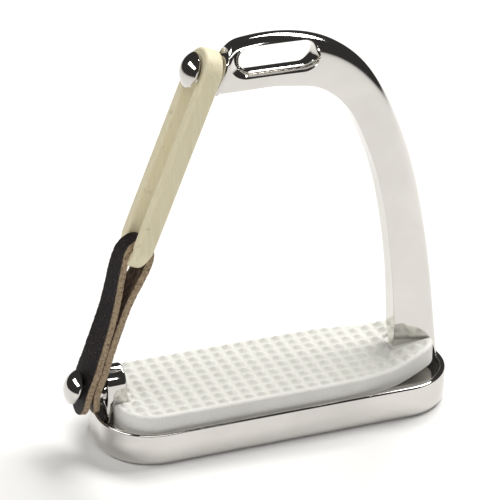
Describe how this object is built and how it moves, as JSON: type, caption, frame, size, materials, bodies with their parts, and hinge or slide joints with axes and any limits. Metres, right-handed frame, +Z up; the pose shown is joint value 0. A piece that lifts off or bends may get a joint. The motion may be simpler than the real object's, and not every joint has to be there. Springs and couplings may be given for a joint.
{
  "type": "safety stirrup iron",
  "caption": "Offset-arm safety stirrup iron: cast frame with leather eye, knobbed rubber tread, and an open side closed by a rubber ring and leather tab on button studs.",
  "frame": {"origin": "centre of the tread's underside, on the bottom face of its middle bar", "axes": "+Z up towards the leather eye, +X from the open release side to the arm, +Y to the back, through the eye"},
  "size_m": [0.1554, 0.0506, 0.1601],
  "materials": {
    "polished_steel": "mirror polished stainless steel",
    "white_rubber": "matt off-white moulded rubber",
    "cream_rubber": "matt cream gum rubber",
    "dark_leather": "black-brown grain face with raw tan cut edges"
  },
  "bodies": {
    "frame": {"stirrup_frame": "polished_steel", "upper_stud": "polished_steel", "lower_stud": "polished_steel", "tread_pad": "white_rubber"},
    "ring": {"rubber_ring": "cream_rubber"},
    "tab": {"leather_tab": "dark_leather"}
  },
  "joints": [
    {"name": "ring_swing", "type": "hinge", "parent": "frame", "child": "ring", "pos_m": [-0.0273, 0, 0.1476], "axis": [0, 1, 0], "range_deg": [0, 60], "deforming": ["rubber_ring", "leather_tab"]},
    {"name": "tab_pivot", "type": "hinge", "parent": "ring", "child": "tab", "pos_m": [-0.0558, 0, 0.077], "axis": [0, 1, 0], "range_deg": [0, 50], "deforming": ["leather_tab"]}
  ]
}
